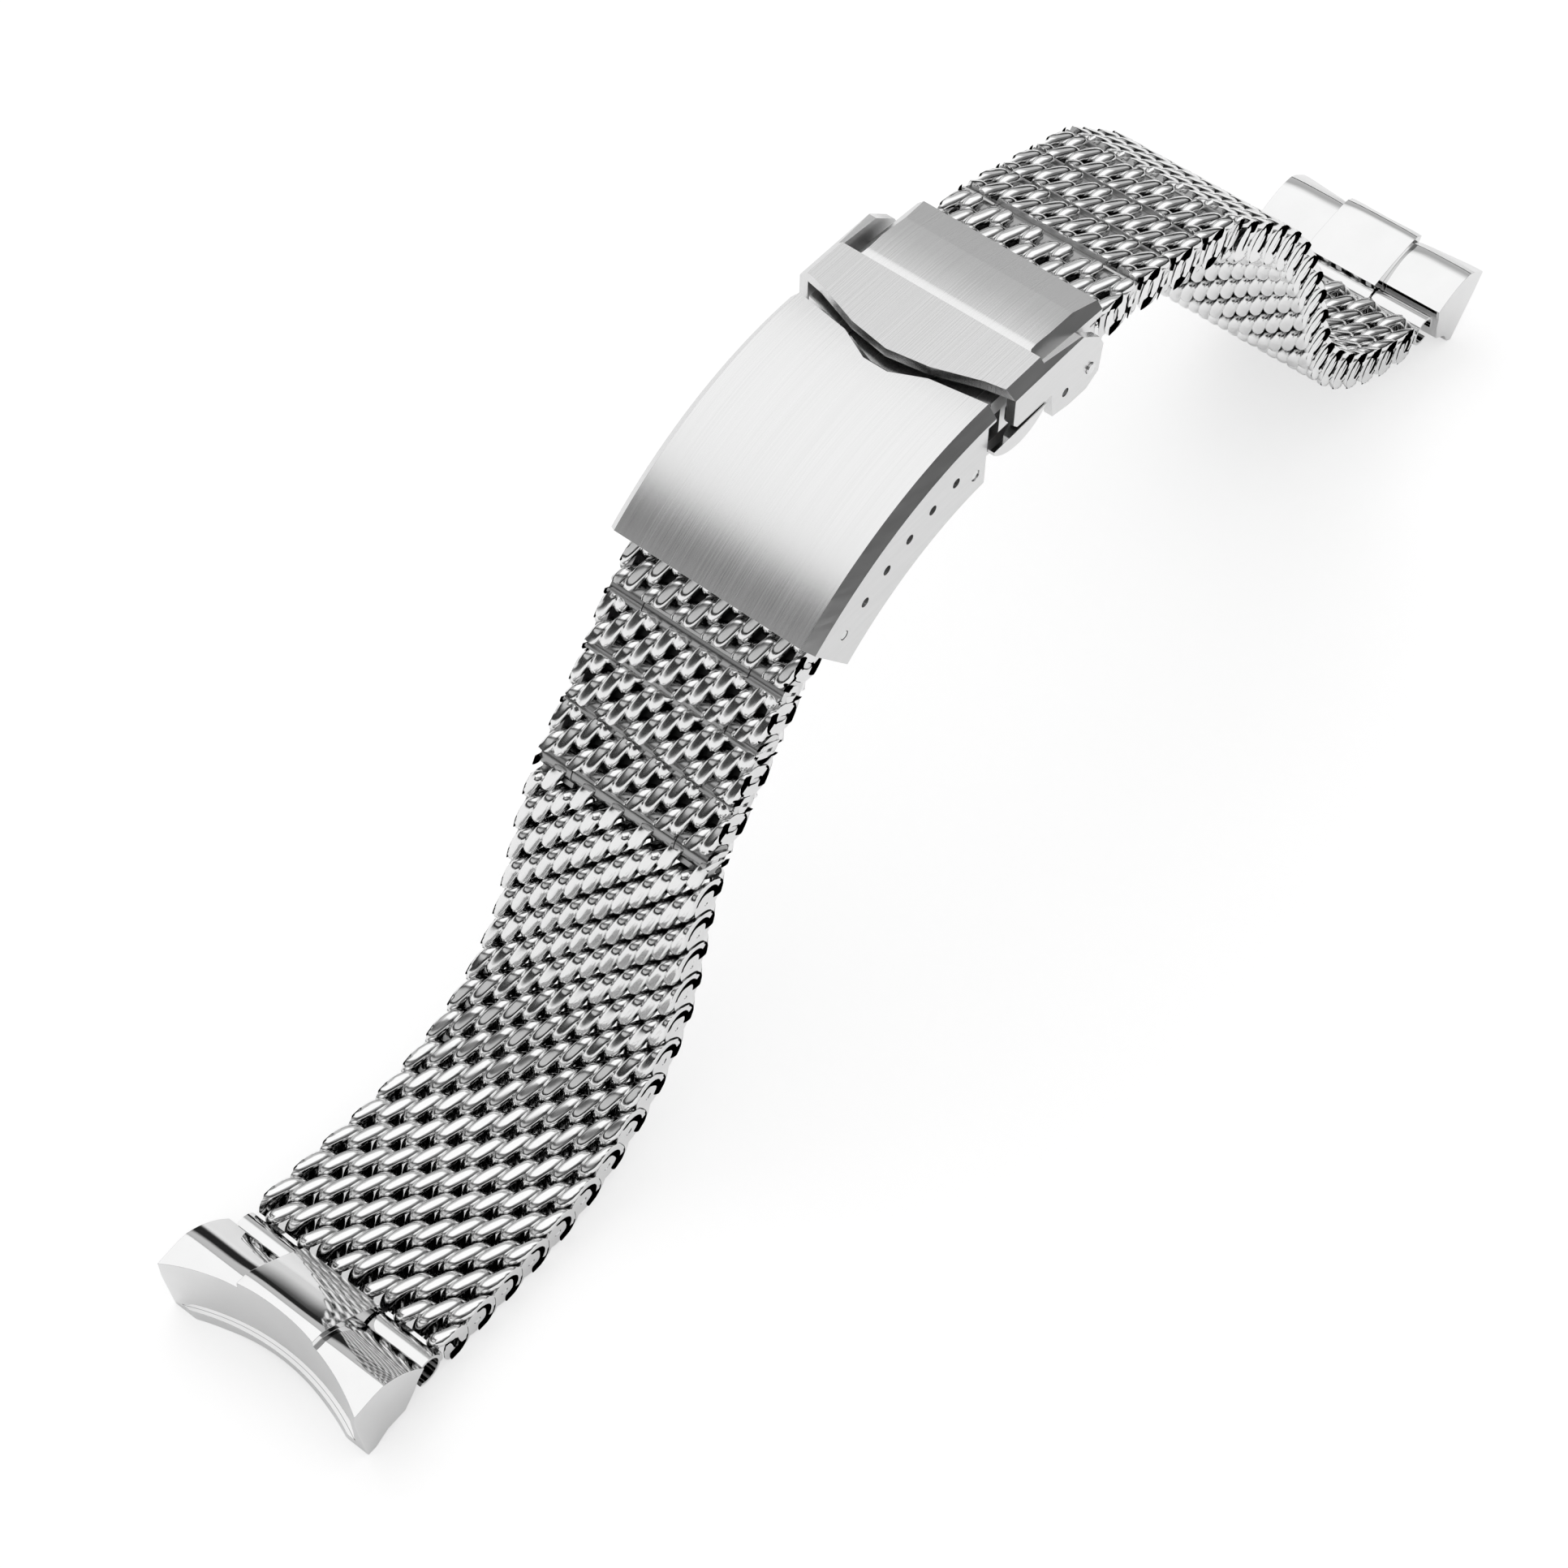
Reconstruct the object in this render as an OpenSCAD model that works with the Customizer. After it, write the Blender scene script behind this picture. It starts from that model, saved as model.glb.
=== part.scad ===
// Woven steel mesh watch band with a folding clasp and hooded lug links.
// X runs along the band, Y across it, Z up. Millimetres.
// The origin lies under the middle of the bounding box, on the table.

/* [Band] */
// Width of the weave at the lugs
lug_width = 21; // [19:0.5:23]
// Width of the weave at the clasp
clasp_width = 18; // [16.5:0.25:18.5]
// Thickness of the weave wire
wire = 0.62; // [0.5:0.02:0.62]
// Distance between woven rows
row_pitch = 1.73; // [1.73:0.01:1.76]

/* [Clasp] */
// Thickness of the cover's top plate
cover_plate = 0.9; // [0.6:0.1:1.1]
// Thickness of the cover's side walls
cover_wall = 0.8; // [0.5:0.1:0.8]
// Radius of the adjustment holes
adjust_hole = 0.45; // [0.42:0.01:0.6]
// Thickness of the folding blades
blade_thick = 0.8; // [0.5:0.1:0.85]
// Thickness of the latch cover's plate
flap_plate = 0.9; // [0.6:0.1:1]

/* [Lug links] */
// Bore of the lug links' centre tube
lug_bore = 1.3; // [1:0.05:1.35]
// Radius of the concave face toward the watch case
case_arc = 22.5; // [20:0.5:26]

/* [Hidden] */
$fn = 48;

mm = 1;
steel = [0.78, 0.79, 0.80];
bright = [0.88, 0.89, 0.90];

// Weave
half_height = 1.95 - wire / 2;
half_length = 1.6;
turns = 12;
slant = 1 / (6 * 1.73);
segment_rows = 4;
near_rows = 32;
far_rows = 36;
edge_gap = 2.2;

// Hinged links
link_length = 3 * 1.73;
knuckle = 1.4;
pin_bore = 0.65;
pin = 0.6;
centre_half = 0.3 * clasp_width;
side_start = centre_half + 0.1;
link_half = clasp_width / 2 - 0.1;
pin_half = link_half - 0.15;
slab_half = 1.5;
slab_end = 1.58;
strand = 0.45;

// The near strand lies on the table, climbs to the clasp in a chain of arcs: [length, turn]
near_start_angle = -1.2;
near_arcs = [[13.4, 0], [28, 76.2], [4, 0], [10, -11], [6, -5]];
near_link_angles = [51, 55.5, 56.5];
near_clasp_angle = 42.5;
near_clasp_length = 6.2;

// The far strand falls from the clasp back to the table
far_link_angles = [-17.5, -16, -16.5];
far_clasp_angle = -2;
far_clasp_length = 9;
far_start_angle = -40;
far_arcs = [[8, 2], [10, -20], [12, -16], [5, 3], [4, 18], [22, 45], [2, 3]];

// Half widths of the clasp, from the band that it closes
cover_half = clasp_width / 2 + 1.4;
flap_half = cover_half + 0.5;
pad_half = clasp_width / 2 + 0.45;
inner_half = cover_half - 4;

// Half widths of the lug links and their tubes
lug_half = lug_width / 2 + 0.4;
tube_half = lug_width / 2 - 0.1;
lobe_half = 0.2 * lug_width;

// Lug link, measured from its hinge
foot = [7.8, -2.3];
nose = [8.6, 5.5];
foot_reach = norm(foot);
foot_angle = atan2(-foot[1], foot[0]);

// The cover is an arc about an axis below it; angles are measured back from the vertical
cover_radius = 36;
hole_radius = cover_radius - 4.05;
hole_step = 5.46;
bar_angle = 36.35;

// Walking along a chain of arcs
function arc_end(p, a, arc) =
  let (l = arc[0], t = arc[1])
  abs(t) < 0.001
    ? [p[0] + l * cos(a), p[1] + l * sin(a)]
    : let (r = l * 180 / (PI * t))
      [p[0] + r * (sin(a + t) - sin(a)), p[1] - r * (cos(a + t) - cos(a))];
function walk(p, a, arcs, s, i = 0) =
  i == len(arcs) - 1 || s <= arcs[i][0]
    ? let (part = [s, arcs[i][1] * s / arcs[i][0]], e = arc_end(p, a, part))
      [e[0], e[1], a + part[1]]
    : walk(arc_end(p, a, arcs[i]), a + arcs[i][1], arcs, s - arcs[i][0], i + 1);
function step(p, l, a) = [p[0] + l * cos(a), p[1] + l * sin(a)];

near_length = near_rows * row_pitch;
far_length = far_rows * row_pitch;
function near_walk(p, s) = walk(p, near_start_angle, near_arcs, s);
function far_walk(p, s) = walk(p, far_start_angle, far_arcs, s);
function arc_point(c, r, a) = [c[0] - r * sin(a), c[1] + r * cos(a)];

// Every hinge axis from the near lugs to the far lugs, for a given start
function hinge_chain(start) =
  let (
    n4 = near_walk(start, near_length),
    n3 = step(n4, link_length, near_link_angles[0]),
    n2 = step(n3, link_length, near_link_angles[1]),
    n1 = step(n2, link_length, near_link_angles[2]),
    bar = step(n1, near_clasp_length, near_clasp_angle),
    axis = [bar[0] + hole_radius * sin(bar_angle), bar[1] - hole_radius * cos(bar_angle)],
    flap = axis + [12.2, cover_radius - 4.9],
    f1 = step(flap, far_clasp_length, far_clasp_angle),
    f2 = step(f1, link_length, far_link_angles[0]),
    f3 = step(f2, link_length, far_link_angles[1]),
    f4 = step(f3, link_length, far_link_angles[2])
  ) [n4, n3, n2, n1, bar, axis, flap, f1, f2, f3, f4, far_walk(f4, far_length)];

// The far lug link tilts until its foot meets the table
free = hinge_chain([0, -foot[1]]);
far_link_tilt = asin(free[11][1] / foot_reach) - foot_angle;
far_reach = nose[0] * cos(far_link_tilt) + nose[1] * sin(far_link_tilt);
near_start = [(nose[0] - far_reach - free[11][0]) / 2, -foot[1]];

points = hinge_chain(near_start);
near_4 = points[0];
near_3 = points[1];
near_2 = points[2];
near_1 = points[3];
bar_axis = points[4];
arc_axis = points[5];
flap_axis = points[6];
far_1 = points[7];
far_2 = points[8];
far_3 = points[9];
far_4 = points[10];
far_end = points[11];
function near_at(s) = near_walk(near_start, s);
function far_at(s) = far_walk(far_4, s);
function on_arc(r, a) = arc_point(arc_axis, r, a);
cover_hinge = on_arc(cover_radius - 5.75, 4.5);
blade_hinge = on_arc(cover_radius - 6.7, 32);
cover_top = arc_axis[1] + cover_radius;

function near_width(s) = lug_width + (clasp_width - lug_width) * s / near_length;
function far_width(s) = clasp_width + (lug_width - clasp_width) * s / far_length;

// Places children at a point of the side view, turned up by an angle
module at(p, a = 0) {
  translate([p[0], 0, p[1]]) rotate([0, -a, 0]) children();
}

// Draws a side view given in x and z and gives it a width across the band
module across(y0, y1) {
  translate([0, y1, 0]) rotate([90, 0, 0]) linear_extrude(y1 - y0) children();
}

module rod(r, y0, y1) {
  translate([0, y1, 0]) rotate([90, 0, 0]) cylinder(r = r, h = y1 - y0);
}

module both_sides() {
  children();
  mirror([0, 1, 0]) children();
}

// One woven row: a flattened coil that advances across the band
module woven_row(parity, width, low, high) {
  p = (width - 0.95) / 5.5;
  t = wire / 2;
  wy = wire / 2;
  lo = max(-half_length, low);
  hi = min(half_length, high);
  corners = [for (j = [0 : turns - 1])
    let (top = (j + parity) % 2 == 0, y = (2.75 - 0.5 * j) * p, z = top ? 1 : -1)
    for (e = top ? [lo, hi] : [hi, lo])
      [e, y - z * slant * p * e, z, e == hi ? 1 : -1]];
  points = [for (c = corners) for (q = [[1, 1], [1, -1], [-1, -1], [-1, 1]])
    [c[0] + q[0] * c[3] * t, c[1] + q[1] * wy, c[2] * (half_height + q[0] * t)]];
  last = 4 * (len(corners) - 1);
  sides = [for (i = [0 : len(corners) - 2]) for (k = [0 : 3])
    let (a = 4 * i + k, b = 4 * i + (k + 1) % 4)
    for (f = [[a, a + 4, b + 4], [a, b + 4, b]]) f];
  polyhedron(points, concat([[0, 1, 2], [0, 2, 3]], sides,
    [[last + 3, last + 2, last + 1], [last + 3, last + 1, last]]), convexity = 10);
}

module near_segment(n) {
  first = max(1, segment_rows * (n - 1));
  final = min(near_rows - 2, segment_rows * n - 1);
  color(steel)
  for (k = [first : final]) {
    s = (k + 0.5) * row_pitch;
    f = near_at(s);
    at(f, f[2]) woven_row(k % 2, near_width(s), edge_gap - s, near_length - edge_gap - s);
  }
}

module far_segment(n) {
  first = max(1, segment_rows * (n - 1));
  final = min(far_rows - 2, segment_rows * n - 1);
  color(steel)
  for (k = [first : final]) {
    s = (k + 0.5) * row_pitch;
    f = far_at(s);
    at(f, f[2]) woven_row(k % 2, far_width(s), edge_gap - s, far_length - edge_gap - s);
  }
}

// Raised strands on both faces of a solid link, in line with the weave
inward = 0.8;
module link_strands(length, first_x, last_x) {
  p = (clasp_width - 0.95) / 5.5;
  rows = round((last_x - first_x) / row_pitch);
  for (k = [0 : rows - 1], j = [0 : 5], face = [1, -1]) {
    // Those underneath sit nearer the middle, clear of the folded neighbours
    reach = face > 0 ? 1 : inward;
    x = (first_x + last_x) / 2 + reach * (k + 0.5 - rows / 2) * (last_x - first_x) / rows;
    y = (2.5 - j + (k % 2 == 0 ? 0.25 : -0.25)) * p;
    translate([x, y, face * slab_half]) rotate([0, 90, -face * atan(slant * p)])
      cylinder(r = strand, h = face > 0 ? 1.62 : 0.95, center = true);
  }
}

// A link with its centre tube at x = 0 and its two side tubes at x = length
module hinged_link(length, strands_from) {
  difference() {
    union() {
      translate([0, -centre_half, -knuckle]) cube([length - slab_end, 2 * centre_half, 2 * knuckle]);
      both_sides() {
        translate([slab_end, centre_half, -knuckle]) cube([length - slab_end, link_half - centre_half, 2 * knuckle]);
        at([length, 0]) rod(knuckle, side_start, link_half);
      }
      translate([slab_end, -link_half, -slab_half])
        cube([length - 2 * slab_end, 2 * link_half, 2 * slab_half]);
      rod(knuckle, -centre_half, centre_half);
      link_strands(length, strands_from, length - 0.3);
    }
    rod(pin_bore, -20, 20);
    at([length, 0]) rod(pin_bore, -20, 20);
    both_sides() translate([length - slab_end, centre_half, -3]) cube([3, side_start - centre_half, 6]);
    // Room for the neighbours' tubes
    both_sides() rod(knuckle + 0.05, centre_half, 20);
    at([length, 0]) rod(knuckle + 0.05, -side_start, side_start);
  }
}

// Side tubes that close a woven strand at its first or last hinge
module side_tubes() {
  both_sides() difference() {
    union() {
      rod(knuckle, side_start, link_half - 0.1);
      translate([-edge_gap + wire / 2 + 0.05, side_start, -0.5])
        cube([edge_gap - wire / 2 - 0.05, link_half - side_start - 0.1, 1]);
    }
    rod(pin_bore, -20, 20);
  }
}

// Open tubes that carry the lug links, with a tail against the first woven row
tube_outer = 1.6;
module lug_tubes() {
  both_sides() difference() {
    union() {
      rod(tube_outer, lobe_half + 0.2, tube_half);
      translate([1.3, lobe_half + 0.2, -0.5])
        cube([edge_gap - wire / 2 - 1.35, tube_half - lobe_half - 0.2, 1]);
    }
    rod(lug_bore, 0, 20);
    rotate([0, -35, 0]) translate([-3, 0, -0.5]) cube([3, 20, 1]);
  }
}

// Lug link: x outward from the hinge, z up. Each lobe's top is part of a cylinder
module lug_link() {
  difference() {
    union() {
      intersection() {
        across(-lug_half, lug_half) polygon([
          [0.75, 2.2], [0.75, 8], [nose[0], 8], nose, [8.5, 3.2], foot,
          [6.9, foot[1]], [5.4, -1.4], [3.3, -1.25], [2.1, 0.2], [1.6, 1.2]]);
        at([6.7, -0.9]) rod(6.72, -lug_half, lug_half, $fn = 96);
      }
      intersection() {
        across(-lobe_half, lobe_half) polygon([[-1.2, 1.8], [-1.2, 8], [7.2, 8], [7.2, 0], [0, 0]]);
        at([6.93, -4]) rod(10.3, -lobe_half, lobe_half, $fn = 128);
      }
      rod(1.7, -lobe_half, lobe_half);
    }
    rod(lug_bore, -20, 20);
    both_sides() rod(1.9, lobe_half, 20);
    // The lower edge of the case face stands a little further out
    translate([5.8 + case_arc, 0, -1]) cylinder(r = case_arc, h = 20, $fn = 96);
    translate([6.15 + case_arc, 0, -10]) cylinder(r = case_arc, h = 10, $fn = 96);
  }
}

// Cross-section of the cover: radius against width
module cover_section() {
  half = cover_half;
  low = cover_radius - 7.7;
  inner = half - cover_wall;
  roof = cover_radius - cover_plate;
  both = [
    [low, half], [cover_radius - 1.1, half], [cover_radius, half - 0.9],
    [cover_radius, -half + 0.9], [cover_radius - 1.1, -half], [low, -half],
    [low, -inner], [roof - 0.6, -inner], [roof, -inner + 0.6],
    [roof, inner - 0.6], [roof - 0.6, inner], [low, inner]];
  polygon(both);
}

// Turns a section about the clasp's arc axis between two angles back from the vertical
module around_arc(a0, a1) {
  translate([arc_axis[0], 0, arc_axis[1]])
    rotate([90, 0, 0])
      rotate([0, 0, 90 + a0])
        rotate_extrude(angle = a1 - a0, $fn = 180) children();
}

module cover_shape() {
  difference() {
    around_arc(-2, 40.4) cover_section();
    // Far end of the walls
    translate([arc_axis[0] - 1.1, -20, cover_top - 16]) cube([10, 40, 14.6]);
    // V notch of the far end
    translate([arc_axis[0], 0, cover_top - 3]) linear_extrude(5)
      polygon([[-0.1, 20], [-0.1, cover_half - 0.8], [-0.95, 4.2], [-2.4, 1.2], [-2.4, -1.2],
        [-0.95, -4.2], [-0.1, 0.8 - cover_half], [-0.1, -20], [8, -20], [8, 20]]);
    for (i = [0 : 5]) at(on_arc(hole_radius, bar_angle - i * hole_step)) rod(adjust_hole, -20, 20);
    at(cover_hinge) rod(0.52, -20, 20);
  }
}

// Folding blades: arcs that nest under the cover
module blade_arc(low, high, half, a0, a1) {
  around_arc(a0, a1) translate([low, -half]) square([high - low, 2 * half]);
}

module inner_blade() {
  difference() {
    union() {
      blade_arc(cover_radius - 6.6, cover_radius - 6.6 + blade_thick, inner_half, 4.5, 31);
      at(cover_hinge) rod(0.9, -inner_half, inner_half);
      at(blade_hinge) rod(1, 2 - inner_half, inner_half - 2);
    }
    at(cover_hinge) rod(0.55, -20, 20);
    at(blade_hinge) rod(0.6, -20, 20);
    at(blade_hinge) both_sides() rod(1.15, inner_half - 2, 20);
  }
}

module end_piece() {
  x = arc_axis[0];
  z = cover_top;
  difference() {
    union() {
      // Floor
      translate([x, -link_half, z - 7.6]) cube([7, 2 * link_half, blade_thick]);
      // Latch block with its V nose
      translate([x + 2.6, -link_half, z - 7.6]) cube([4.4, 2 * link_half, 6.6]);
      translate([x, 0, z - 2.6]) linear_extrude(1.7)
        polygon([[0.75, pad_half - 0.25], [-0.45, 4.1], [-1.7, 1], [-1.7, -1], [-0.45, -4.1],
          [0.75, 0.25 - pad_half], [7, 0.25 - pad_half], [7, pad_half - 0.25]]);
      // Pad over the last link
      difference() {
        across(-pad_half, pad_half) polygon([
          [x + 6.3, z - 2.4], [x + 6.3, z - 0.4], [x + 6.9, z - 0.1], [x + 9.5, z - 0.15],
          [x + 12.5, z - 0.45], [x + 15.5, z - 1.05], [x + 15.5, z - 2.4]]);
        both_sides() translate([0, pad_half, 0]) at([x + 6, z], -4)
          rotate([45, 0, 0]) translate([-2, -0.7, -0.7]) cube([14, 1.4, 1.4]);
      }
      // Cheeks that carry the bar
      both_sides() across(link_half + 0.08, pad_half) polygon([
        [x + 6.3, z - 7.6], [x + 6.3, z - 2], [x + 13.9, z - 2], [x + 13.9, z - 6], [x + 12.6, z - 7.1]]);
    }
    // Parting lines of the nose
    both_sides() translate([x - 2, 3.95, z - 1.4]) cube([3.6, 0.3, 2]);
    // Button pockets
    both_sides() translate([x + 3.3, flap_half - 5.5, z - 5.1]) cube([2.8, 5, 1.5]);
    at(flap_axis) rod(pin_bore, -20, 20);
  }
}

module outer_blade() {
  difference() {
    union() {
      blade_arc(cover_radius - 7.6, cover_radius - 7.6 + blade_thick, link_half, 0, 31.6);
      both_sides() at(blade_hinge) rod(1, inner_half - 1.9, link_half);
      end_piece();
    }
    at(blade_hinge) rod(0.6, -20, 20);
    at(blade_hinge) rod(1.15, 1.9 - inner_half, inner_half - 1.9);
  }
}

// Latch cover: V plate in front, arms behind, turning on the flap bar
module flap_shape() {
  x = arc_axis[0];
  top = cover_top + 0.7;
  difference() {
    union() {
      translate([x, 0, top - flap_plate]) linear_extrude(flap_plate)
        polygon([[1.65, flap_half], [1.1, flap_half - 2.7], [-0.45, 3.9], [-1.1, 0], [-0.45, -3.9],
          [1.1, 2.7 - flap_half], [1.65, -flap_half], [6, -flap_half], [6, flap_half]]);
      both_sides() {
        across(flap_half - 0.85, flap_half) polygon([
          [x + 1.65, top], [x + 1.65, top - 3.7], [x + 2.2, top - 4.3], [x + 6.9, top - 4.5],
          [x + 7.3, top - 7.3], [x + 9.5, top - 7.8], [x + 12, top - 7.9], [x + 13.6, top - 7],
          [x + 13.9, top - 4.1], [x + 13.2, top - 2.8], [x + 10.6, top - 0.8], [x + 6, top - 0.4], [x + 6, top]]);
      }
    }
    // Chamfers along the sides
    both_sides() translate([x - 3, flap_half, top]) rotate([45, 0, 0])
      translate([0, -0.65, -0.65]) cube([20, 1.3, 1.3]);
    at(flap_axis) rod(0.55, -20, 20);
    at([x + 8.9, top - 5.8]) rod(0.42, -20, 20);
  }
}

// Push button: a crescent outside, a square stem inside with a bore for its spring
spring_line = [arc_axis[0] + 4.7, cover_top - 4.35];
module button_shape() {
  x = arc_axis[0];
  z = cover_top;
  intersection() {
    at([x + 2.35, z - 0.9]) rod(4.7, -flap_half - 0.15, 0.95 - flap_half);
    translate([x - 1, -flap_half - 1.1, z - 7]) cube([10, 4, 3.15]);
  }
  difference() {
    translate([x + 3.4, 0.9 - flap_half, z - 4.95]) cube([2.6, 3.6, 1.2]);
    at(spring_line) rod(0.42, 2.5 - flap_half, 4.9 - flap_half);
  }
}

module pin_at(p, r, half) {
  color(bright) at(p) rod(r, -half, half);
}

module near_end_link() { color(bright) at(near_start) mirror([1, 0, 0]) lug_link(); }
module near_end_ferrule() { color(steel) at(near_start, near_start_angle) lug_tubes(); }
module near_mesh_1() { near_segment(1); }
module near_mesh_2() { near_segment(2); }
module near_mesh_3() { near_segment(3); }
module near_mesh_4() { near_segment(4); }
module near_mesh_5() { near_segment(5); }
module near_mesh_6() { near_segment(6); }
module near_mesh_7() { near_segment(7); }
module near_mesh_8() { near_segment(8); }
module near_knuckles() { color(steel) at(near_4, near_4[2]) side_tubes(); }
module near_link_1() { color(steel) at(near_4, near_link_angles[0]) hinged_link(link_length, 0.3); }
module near_link_2() { color(steel) at(near_3, near_link_angles[1]) hinged_link(link_length, 0.3); }
module near_link_3() { color(steel) at(near_2, near_link_angles[2]) hinged_link(link_length, 0.3); }
module near_clasp_link() { color(steel) at(near_1, near_clasp_angle) hinged_link(near_clasp_length, 0.3); }
module near_hinge_pin_1() { pin_at(near_4, pin, pin_half); }
module near_hinge_pin_2() { pin_at(near_3, pin, pin_half); }
module near_hinge_pin_3() { pin_at(near_2, pin, pin_half); }
module near_hinge_pin_4() { pin_at(near_1, pin, pin_half); }

module clasp_bar() {
  color(bright) difference() {
    at(bar_axis) rod(pin, 1 - cover_half, cover_half - 1);
    both_sides() at(bar_axis) rod(0.44, cover_half - 3.8, cover_half);
  }
}
module clasp_bar_tip_left() { color(bright) at(bar_axis) rod(0.38, cover_half - 2.8, cover_half - 0.05); }
module clasp_bar_tip_right() { color(bright) at(bar_axis) rod(0.38, 0.05 - cover_half, 2.8 - cover_half); }

module clasp_cover() { color(steel) cover_shape(); }
module cover_hinge_pin() { pin_at(cover_hinge, 0.48, cover_half - 0.1); }
module fold_blade_inner() { color(steel) inner_blade(); }
module blade_hinge_pin() { pin_at(blade_hinge, 0.54, link_half - 0.1); }
module fold_blade_outer() { color(steel) outer_blade(); }
module push_button_right() { color(bright) button_shape(); }
module push_button_left() { color(bright) mirror([0, 1, 0]) button_shape(); }
module button_spring() {
  color(bright) both_sides() at(spring_line) rod(0.32, flap_half - 5.5, flap_half - 3.5);
}
module lock_flap() { color(steel) flap_shape(); }
module flap_bar() {
  color(bright) {
    at(flap_axis) rod(pin, -pad_half - 0.15, pad_half + 0.15);
    both_sides() at(flap_axis) rod(0.5, pad_half + 0.15, flap_half + 0.2);
  }
}

module far_clasp_link() {
  color(steel) at(flap_axis, far_clasp_angle) hinged_link(far_clasp_length, 3.6);
}
module far_link_1() { color(steel) at(far_1, far_link_angles[0]) hinged_link(link_length, 0.3); }
module far_link_2() { color(steel) at(far_2, far_link_angles[1]) hinged_link(link_length, 0.3); }
module far_link_3() { color(steel) at(far_3, far_link_angles[2]) hinged_link(link_length, 0.3); }
module far_hinge_pin_1() { pin_at(far_1, pin, pin_half); }
module far_hinge_pin_2() { pin_at(far_2, pin, pin_half); }
module far_hinge_pin_3() { pin_at(far_3, pin, pin_half); }
module far_hinge_pin_4() { pin_at(far_4, pin, pin_half); }
module far_knuckles() { color(steel) at(far_4, far_start_angle) centre_tube(); }

// Centre tube that closes the far woven strand at its first hinge
module centre_tube() {
  difference() {
    union() {
      rod(knuckle, -centre_half, centre_half);
      translate([0, -centre_half, -0.5]) cube([edge_gap - wire / 2 - 0.05, 2 * centre_half, 1]);
    }
    rod(pin_bore, -20, 20);
  }
}

module far_mesh_1() { far_segment(1); }
module far_mesh_2() { far_segment(2); }
module far_mesh_3() { far_segment(3); }
module far_mesh_4() { far_segment(4); }
module far_mesh_5() { far_segment(5); }
module far_mesh_6() { far_segment(6); }
module far_mesh_7() { far_segment(7); }
module far_mesh_8() { far_segment(8); }
module far_mesh_9() { far_segment(9); }
module far_end_ferrule() { color(steel) at(far_end, far_end[2]) mirror([1, 0, 0]) lug_tubes(); }
module far_end_link() { color(bright) at(far_end, -far_link_tilt) lug_link(); }

echo(near_hinges = [for (j = [1 : 7]) near_at(segment_rows * j * row_pitch)]);
echo(far_hinges = [for (j = [1 : 8]) far_at(segment_rows * j * row_pitch)]);
echo(near_rings = [near_start, near_4, near_3, near_2, near_1, bar_axis]);
echo(clasp = [arc_axis, cover_hinge, blade_hinge, flap_axis, [far_link_tilt, 0]]);
echo(far_rings = [far_1, far_2, far_3, far_4, far_end]);

near_end_link();
near_end_ferrule();
near_mesh_1();
near_mesh_2();
near_mesh_3();
near_mesh_4();
near_mesh_5();
near_mesh_6();
near_mesh_7();
near_mesh_8();
near_knuckles();
near_link_1();
near_link_2();
near_link_3();
near_clasp_link();
near_hinge_pin_1();
near_hinge_pin_2();
near_hinge_pin_3();
near_hinge_pin_4();
clasp_bar();
clasp_bar_tip_left();
clasp_bar_tip_right();
clasp_cover();
cover_hinge_pin();
fold_blade_inner();
blade_hinge_pin();
fold_blade_outer();
push_button_left();
push_button_right();
button_spring();
lock_flap();
flap_bar();
far_clasp_link();
far_link_1();
far_link_2();
far_link_3();
far_hinge_pin_1();
far_hinge_pin_2();
far_hinge_pin_3();
far_hinge_pin_4();
far_knuckles();
far_mesh_1();
far_mesh_2();
far_mesh_3();
far_mesh_4();
far_mesh_5();
far_mesh_6();
far_mesh_7();
far_mesh_8();
far_mesh_9();
far_end_ferrule();
far_end_link();
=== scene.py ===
import math
import bmesh
import bpy
from mathutils import Matrix, Vector


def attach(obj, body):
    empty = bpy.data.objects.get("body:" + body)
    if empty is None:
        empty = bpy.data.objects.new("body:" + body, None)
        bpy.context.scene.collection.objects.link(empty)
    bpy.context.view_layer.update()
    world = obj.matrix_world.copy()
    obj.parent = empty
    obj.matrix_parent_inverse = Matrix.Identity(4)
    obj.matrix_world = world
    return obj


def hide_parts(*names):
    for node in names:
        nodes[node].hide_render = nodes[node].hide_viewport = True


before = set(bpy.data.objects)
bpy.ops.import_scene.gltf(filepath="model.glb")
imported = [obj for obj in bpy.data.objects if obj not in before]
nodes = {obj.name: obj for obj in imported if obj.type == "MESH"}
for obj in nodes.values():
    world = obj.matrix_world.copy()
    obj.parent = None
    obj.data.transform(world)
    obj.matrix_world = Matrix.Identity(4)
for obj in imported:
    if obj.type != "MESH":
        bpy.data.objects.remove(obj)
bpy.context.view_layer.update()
MM = 0.001

# Band layout, in millimetres, as in the part's source
ROW = 1.73
NEAR_ROWS, FAR_ROWS, SEGMENT = 32, 36, 4
LUG_WIDTH, CLASP_WIDTH = 21.0, 18.0
EDGE_GAP = 2.2
LINK = 3 * ROW
SLANT = 1 / (6 * ROW)
NEAR_ANGLE = -1.2
NEAR_ARCS = [[13.4, 0], [28, 76.2], [4, 0], [10, -11], [6, -5]]
NEAR_LINKS = [51, 55.5, 56.5]
NEAR_CLASP, NEAR_CLASP_LENGTH = 42.5, 6.2
FAR_LINKS = [-17.5, -16, -16.5]
FAR_CLASP, FAR_CLASP_LENGTH = -2, 9.0
FAR_ANGLE = -40
FAR_ARCS = [[8, 2], [10, -20], [12, -16], [5, 3], [4, 18], [22, 45], [2, 3]]
HOLE_RADIUS, BAR_ANGLE = 31.95, 36.35
FLAP_OFFSET = (12.2, 31.1)
FOOT, NOSE = (7.8, -2.3), (8.6, 5.5)


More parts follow.
